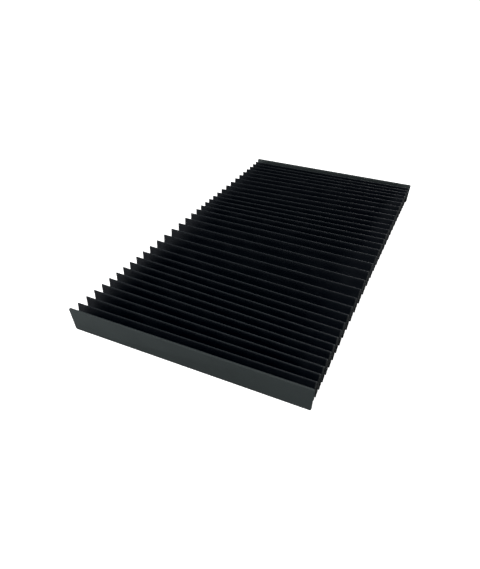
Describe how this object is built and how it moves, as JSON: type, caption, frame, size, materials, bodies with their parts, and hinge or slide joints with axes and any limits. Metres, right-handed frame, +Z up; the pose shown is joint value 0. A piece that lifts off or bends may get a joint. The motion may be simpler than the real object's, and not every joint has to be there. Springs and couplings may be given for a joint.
{
  "type": "flat bellows way cover",
  "caption": "Flat pleated bellows cover for a machine's guideway: black coated cloth folded over stiff supports, between two plain end plates, one of which slides.",
  "frame": {"origin": "middle of the footprint, on the surface that the cover lies on", "axes": "+X across the cover, +Y along its travel from the near end plate to the far one, +Z up"},
  "size_m": [0.25, 0.452, 0.0255],
  "materials": {
    "end_plate": "matte",
    "coated_cloth": "matte",
    "support": "satin"
  },
  "bodies": {
    "near_end": {"near_end_plate": "end_plate", "pleated_cover": "coated_cloth"},
    "far_end": {"far_end_plate": "end_plate"},
    "pleat_01": {"pleat_support_01": "support"},
    "pleat_02": {"pleat_support_02": "support"},
    "pleat_03": {"pleat_support_03": "support"},
    "pleat_04": {"pleat_support_04": "support"},
    "pleat_05": {"pleat_support_05": "support"},
    "pleat_06": {"pleat_support_06": "support"},
    "pleat_07": {"pleat_support_07": "support"},
    "pleat_08": {"pleat_support_08": "support"},
    "pleat_09": {"pleat_support_09": "support"},
    "pleat_10": {"pleat_support_10": "support"},
    "pleat_11": {"pleat_support_11": "support"},
    "pleat_12": {"pleat_support_12": "support"},
    "pleat_13": {"pleat_support_13": "support"},
    "pleat_14": {"pleat_support_14": "support"},
    "pleat_15": {"pleat_support_15": "support"},
    "pleat_16": {"pleat_support_16": "support"},
    "pleat_17": {"pleat_support_17": "support"},
    "pleat_18": {"pleat_support_18": "support"},
    "pleat_19": {"pleat_support_19": "support"},
    "pleat_20": {"pleat_support_20": "support"},
    "pleat_21": {"pleat_support_21": "support"},
    "pleat_22": {"pleat_support_22": "support"},
    "pleat_23": {"pleat_support_23": "support"},
    "pleat_24": {"pleat_support_24": "support"},
    "pleat_25": {"pleat_support_25": "support"},
    "pleat_26": {"pleat_support_26": "support"},
    "pleat_27": {"pleat_support_27": "support"},
    "pleat_28": {"pleat_support_28": "support"},
    "pleat_29": {"pleat_support_29": "support"},
    "pleat_30": {"pleat_support_30": "support"},
    "pleat_31": {"pleat_support_31": "support"},
    "pleat_32": {"pleat_support_32": "support"},
    "pleat_33": {"pleat_support_33": "support"}
  },
  "joints": [
    {"name": "extension", "type": "slide", "parent": "near_end", "child": "far_end", "axis": [0, 1, 0], "range_m": [-0.29, 0.27], "deforming": ["pleated_cover"]},
    {"name": "pleat_01_slide", "type": "slide", "parent": "near_end", "child": "pleat_01", "axis": [0, 1, 0], "range_m": [-0.00673, 0.0063]},
    {"name": "pleat_02_slide", "type": "slide", "parent": "near_end", "child": "pleat_02", "axis": [0, 1, 0], "range_m": [-0.01376, 0.01285]},
    {"name": "pleat_03_slide", "type": "slide", "parent": "near_end", "child": "pleat_03", "axis": [0, 1, 0], "range_m": [-0.02077, 0.01937]},
    {"name": "pleat_04_slide", "type": "slide", "parent": "near_end", "child": "pleat_04", "axis": [0, 1, 0], "range_m": [-0.02786, 0.02597]},
    {"name": "pleat_05_slide", "type": "slide", "parent": "near_end", "child": "pleat_05", "axis": [0, 1, 0], "range_m": [-0.03506, 0.03268]},
    {"name": "pleat_06_slide", "type": "slide", "parent": "near_end", "child": "pleat_06", "axis": [0, 1, 0], "range_m": [-0.04235, 0.03947]},
    {"name": "pleat_07_slide", "type": "slide", "parent": "near_end", "child": "pleat_07", "axis": [0, 1, 0], "range_m": [-0.04974, 0.04634]},
    {"name": "pleat_08_slide", "type": "slide", "parent": "near_end", "child": "pleat_08", "axis": [0, 1, 0], "range_m": [-0.05727, 0.05336]},
    {"name": "pleat_09_slide", "type": "slide", "parent": "near_end", "child": "pleat_09", "axis": [0, 1, 0], "range_m": [-0.06511, 0.06065]},
    {"name": "pleat_10_slide", "type": "slide", "parent": "near_end", "child": "pleat_10", "axis": [0, 1, 0], "range_m": [-0.07346, 0.06842]},
    {"name": "pleat_11_slide", "type": "slide", "parent": "near_end", "child": "pleat_11", "axis": [0, 1, 0], "range_m": [-0.08253, 0.07687]},
    {"name": "pleat_12_slide", "type": "slide", "parent": "near_end", "child": "pleat_12", "axis": [0, 1, 0], "range_m": [-0.09244, 0.0861]},
    {"name": "pleat_13_slide", "type": "slide", "parent": "near_end", "child": "pleat_13", "axis": [0, 1, 0], "range_m": [-0.10315, 0.09607]},
    {"name": "pleat_14_slide", "type": "slide", "parent": "near_end", "child": "pleat_14", "axis": [0, 1, 0], "range_m": [-0.11444, 0.10658]},
    {"name": "pleat_15_slide", "type": "slide", "parent": "near_end", "child": "pleat_15", "axis": [0, 1, 0], "range_m": [-0.1259, 0.11725]},
    {"name": "pleat_16_slide", "type": "slide", "parent": "near_end", "child": "pleat_16", "axis": [0, 1, 0], "range_m": [-0.13709, 0.12767]},
    {"name": "pleat_17_slide", "type": "slide", "parent": "near_end", "child": "pleat_17", "axis": [0, 1, 0], "range_m": [-0.14763, 0.13748]},
    {"name": "pleat_18_slide", "type": "slide", "parent": "near_end", "child": "pleat_18", "axis": [0, 1, 0], "range_m": [-0.15729, 0.14648]},
    {"name": "pleat_19_slide", "type": "slide", "parent": "near_end", "child": "pleat_19", "axis": [0, 1, 0], "range_m": [-0.16608, 0.15466]},
    {"name": "pleat_20_slide", "type": "slide", "parent": "near_end", "child": "pleat_20", "axis": [0, 1, 0], "range_m": [-0.17425, 0.16227]},
    {"name": "pleat_21_slide", "type": "slide", "parent": "near_end", "child": "pleat_21", "axis": [0, 1, 0], "range_m": [-0.18218, 0.16965]},
    {"name": "pleat_22_slide", "type": "slide", "parent": "near_end", "child": "pleat_22", "axis": [0, 1, 0], "range_m": [-0.19026, 0.17718]},
    {"name": "pleat_23_slide", "type": "slide", "parent": "near_end", "child": "pleat_23", "axis": [0, 1, 0], "range_m": [-0.19881, 0.18514]},
    {"name": "pleat_24_slide", "type": "slide", "parent": "near_end", "child": "pleat_24", "axis": [0, 1, 0], "range_m": [-0.20794, 0.19363]},
    {"name": "pleat_25_slide", "type": "slide", "parent": "near_end", "child": "pleat_25", "axis": [0, 1, 0], "range_m": [-0.21754, 0.20257]},
    {"name": "pleat_26_slide", "type": "slide", "parent": "near_end", "child": "pleat_26", "axis": [0, 1, 0], "range_m": [-0.22734, 0.2117]},
    {"name": "pleat_27_slide", "type": "slide", "parent": "near_end", "child": "pleat_27", "axis": [0, 1, 0], "range_m": [-0.23702, 0.22071]},
    {"name": "pleat_28_slide", "type": "slide", "parent": "near_end", "child": "pleat_28", "axis": [0, 1, 0], "range_m": [-0.24626, 0.22931]},
    {"name": "pleat_29_slide", "type": "slide", "parent": "near_end", "child": "pleat_29", "axis": [0, 1, 0], "range_m": [-0.25489, 0.23734]},
    {"name": "pleat_30_slide", "type": "slide", "parent": "near_end", "child": "pleat_30", "axis": [0, 1, 0], "range_m": [-0.26287, 0.24478]},
    {"name": "pleat_31_slide", "type": "slide", "parent": "near_end", "child": "pleat_31", "axis": [0, 1, 0], "range_m": [-0.27033, 0.25172]},
    {"name": "pleat_32_slide", "type": "slide", "parent": "near_end", "child": "pleat_32", "axis": [0, 1, 0], "range_m": [-0.27744, 0.25834]},
    {"name": "pleat_33_slide", "type": "slide", "parent": "near_end", "child": "pleat_33", "axis": [0, 1, 0], "range_m": [-0.28438, 0.2648]}
  ],
  "couplings": [
    {"joint": "pleat_01_slide", "follows": "extension", "ratio": 0.02147},
    {"joint": "pleat_02_slide", "follows": "extension", "ratio": 0.04574},
    {"joint": "pleat_03_slide", "follows": "extension", "ratio": 0.0699},
    {"joint": "pleat_04_slide", "follows": "extension", "ratio": 0.09434},
    {"joint": "pleat_05_slide", "follows": "extension", "ratio": 0.11917},
    {"joint": "pleat_06_slide", "follows": "extension", "ratio": 0.14432},
    {"joint": "pleat_07_slide", "follows": "extension", "ratio": 0.16979},
    {"joint": "pleat_08_slide", "follows": "extension", "ratio": 0.19577},
    {"joint": "pleat_09_slide", "follows": "extension", "ratio": 0.22279},
    {"joint": "pleat_10_slide", "follows": "extension", "ratio": 0.25157},
    {"joint": "pleat_11_slide", "follows": "extension", "ratio": 0.28285},
    {"joint": "pleat_12_slide", "follows": "extension", "ratio": 0.31703},
    {"joint": "pleat_13_slide", "follows": "extension", "ratio": 0.35398},
    {"joint": "pleat_14_slide", "follows": "extension", "ratio": 0.39288},
    {"joint": "pleat_15_slide", "follows": "extension", "ratio": 0.43241},
    {"joint": "pleat_16_slide", "follows": "extension", "ratio": 0.47101},
    {"joint": "pleat_17_slide", "follows": "extension", "ratio": 0.50734},
    {"joint": "pleat_18_slide", "follows": "extension", "ratio": 0.54065},
    {"joint": "pleat_19_slide", "follows": "extension", "ratio": 0.57098},
    {"joint": "pleat_20_slide", "follows": "extension", "ratio": 0.59915},
    {"joint": "pleat_21_slide", "follows": "extension", "ratio": 0.62648},
    {"joint": "pleat_22_slide", "follows": "extension", "ratio": 0.65436},
    {"joint": "pleat_23_slide", "follows": "extension", "ratio": 0.68384},
    {"joint": "pleat_24_slide", "follows": "extension", "ratio": 0.71531},
    {"joint": "pleat_25_slide", "follows": "extension", "ratio": 0.74841},
    {"joint": "pleat_26_slide", "follows": "extension", "ratio": 0.78222},
    {"joint": "pleat_27_slide", "follows": "extension", "ratio": 0.81558},
    {"joint": "pleat_28_slide", "follows": "extension", "ratio": 0.84744},
    {"joint": "pleat_29_slide", "follows": "extension", "ratio": 0.87719},
    {"joint": "pleat_30_slide", "follows": "extension", "ratio": 0.90473},
    {"joint": "pleat_31_slide", "follows": "extension", "ratio": 0.93046},
    {"joint": "pleat_32_slide", "follows": "extension", "ratio": 0.95497},
    {"joint": "pleat_33_slide", "follows": "extension", "ratio": 0.97888}
  ]
}
